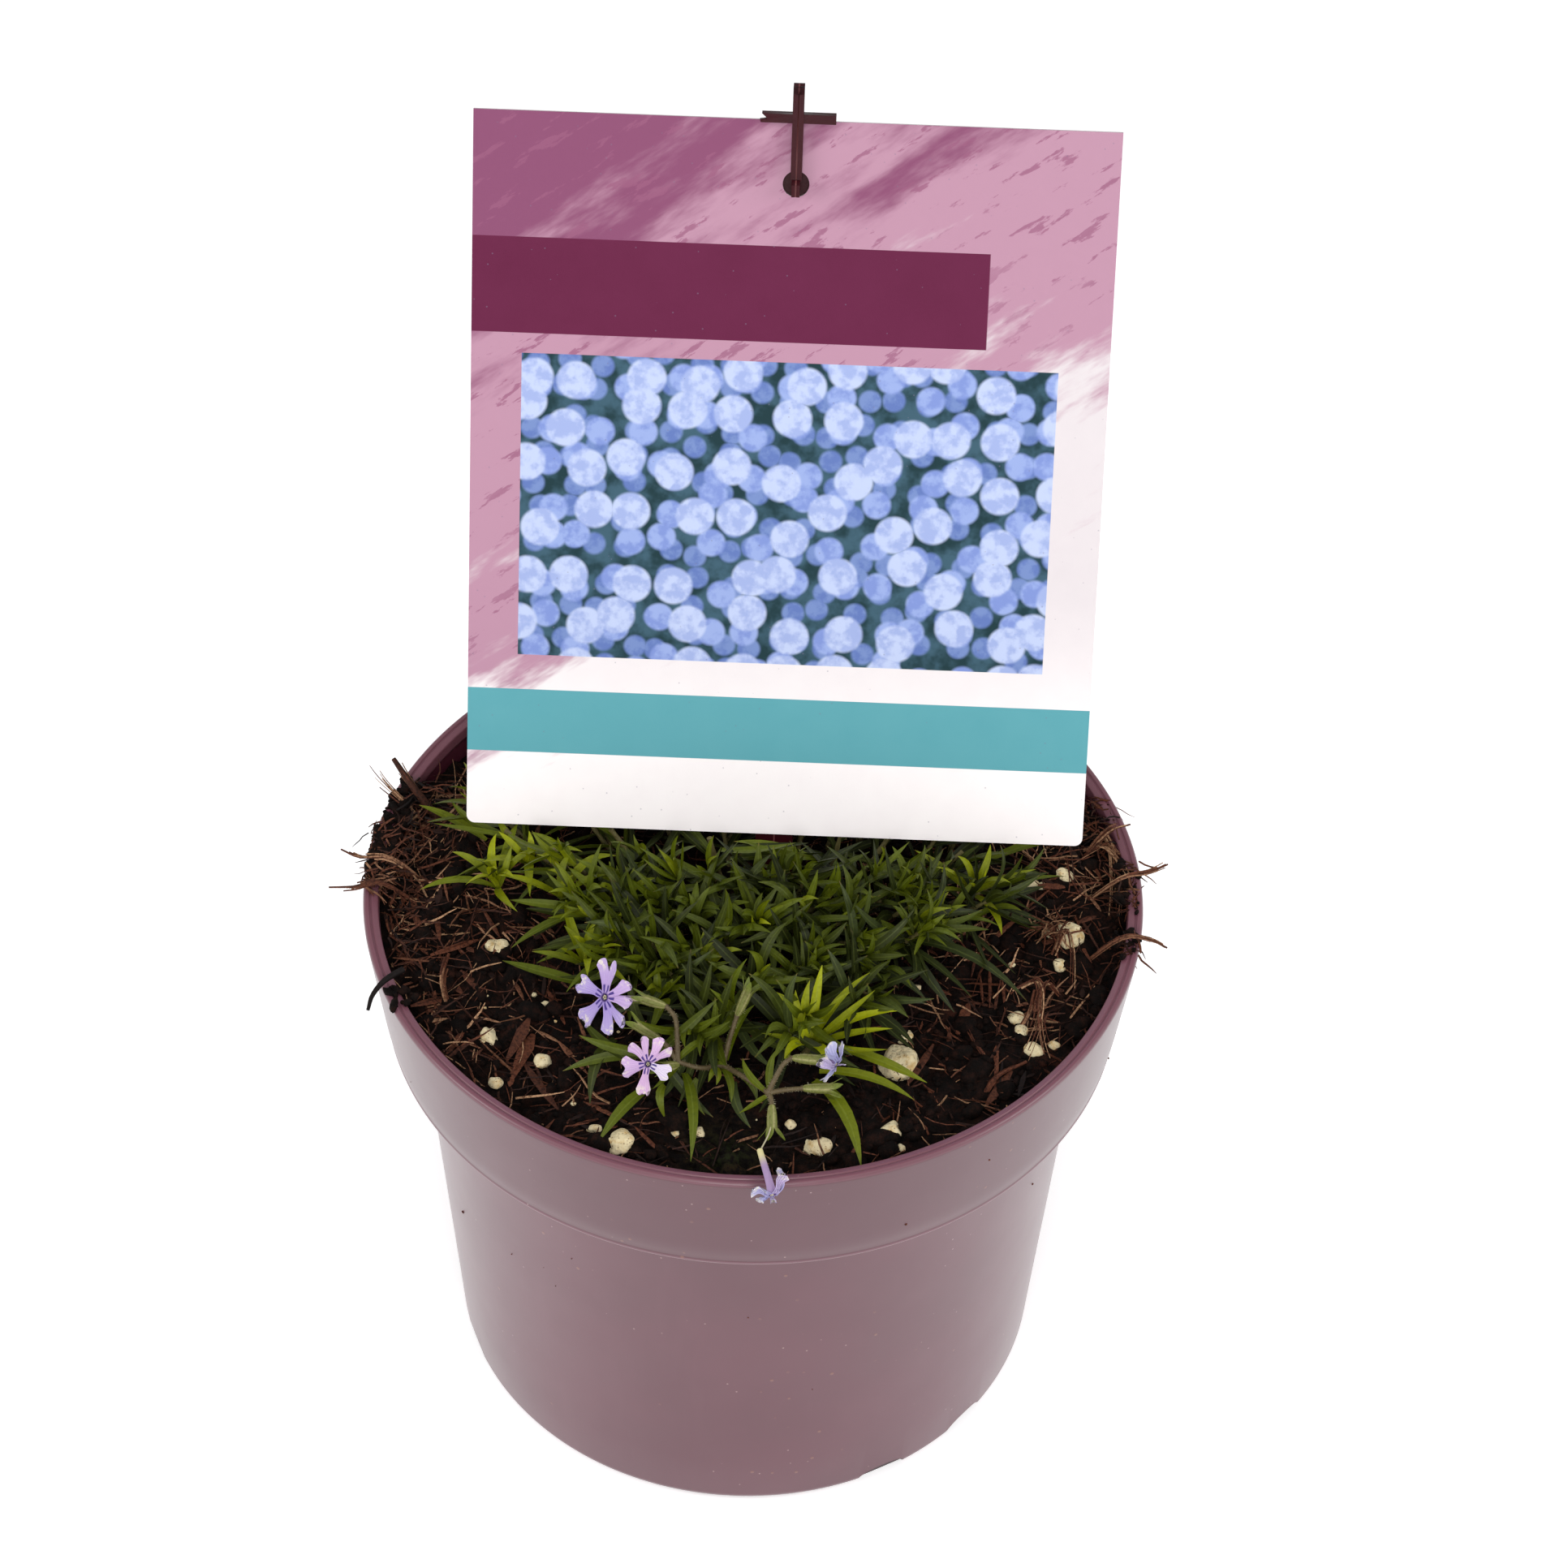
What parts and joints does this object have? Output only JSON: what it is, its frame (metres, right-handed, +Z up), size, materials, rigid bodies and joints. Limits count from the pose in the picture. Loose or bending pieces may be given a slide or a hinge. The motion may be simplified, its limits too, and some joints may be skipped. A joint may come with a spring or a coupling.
{
  "type": "potted creeping phlox",
  "caption": "Low mat of creeping phlox with a small spray of lavender flowers, in a round nursery pot of soil with a printed card label on a hook stake.",
  "frame": {"origin": "centre of the pot's underside, on the surface that the pot stands on", "axes": "+Z up along the pot's axis; -Y is the front, the side that the label's printed face looks to; +X to the right seen from the front"},
  "size_m": [0.2043, 0.1957, 0.3271],
  "materials": {
    "pot": "satin mauve polypropylene, fine scratches and specks of soil",
    "soil": "moist peat with wood chips, root fibres and perlite",
    "leaf": "living leaf, yellow-green tips over darker green",
    "stalk": "hairy brownish green stalk and ribbed green calyx",
    "petal": "thin lavender-blue petal with a violet eye",
    "petal_wilted": "crumpled fading blue petal",
    "stake": "dark maroon moulded plastic",
    "label": "printed satin card"
  },
  "bodies": {
    "root": {"pot": "pot", "soil": "soil", "label": "label", "label_stake": "stake", "flower_spray": "stalk", "flower_left": "petal", "flower_low": "petal", "flower_wilted": "petal_wilted", "flower_fallen": "petal_wilted", "shoot_01": "leaf", "shoot_02": "leaf", "shoot_03": "leaf", "shoot_04": "leaf", "shoot_05": "leaf", "shoot_06": "leaf", "shoot_07": "leaf", "shoot_08": "leaf", "shoot_09": "leaf", "shoot_10": "leaf", "shoot_11": "leaf", "shoot_12": "leaf", "shoot_13": "leaf", "shoot_14": "leaf", "shoot_15": "leaf", "shoot_16": "leaf", "shoot_17": "leaf", "shoot_18": "leaf", "shoot_19": "leaf", "shoot_20": "leaf", "shoot_21": "leaf", "shoot_22": "leaf", "shoot_23": "leaf", "shoot_24": "leaf", "shoot_25": "leaf", "shoot_26": "leaf", "shoot_27": "leaf", "shoot_28": "leaf", "shoot_29": "leaf", "shoot_30": "leaf", "shoot_31": "leaf", "shoot_32": "leaf", "shoot_33": "leaf", "shoot_34": "leaf", "shoot_35": "leaf", "shoot_36": "leaf"}
  },
  "joints": []
}
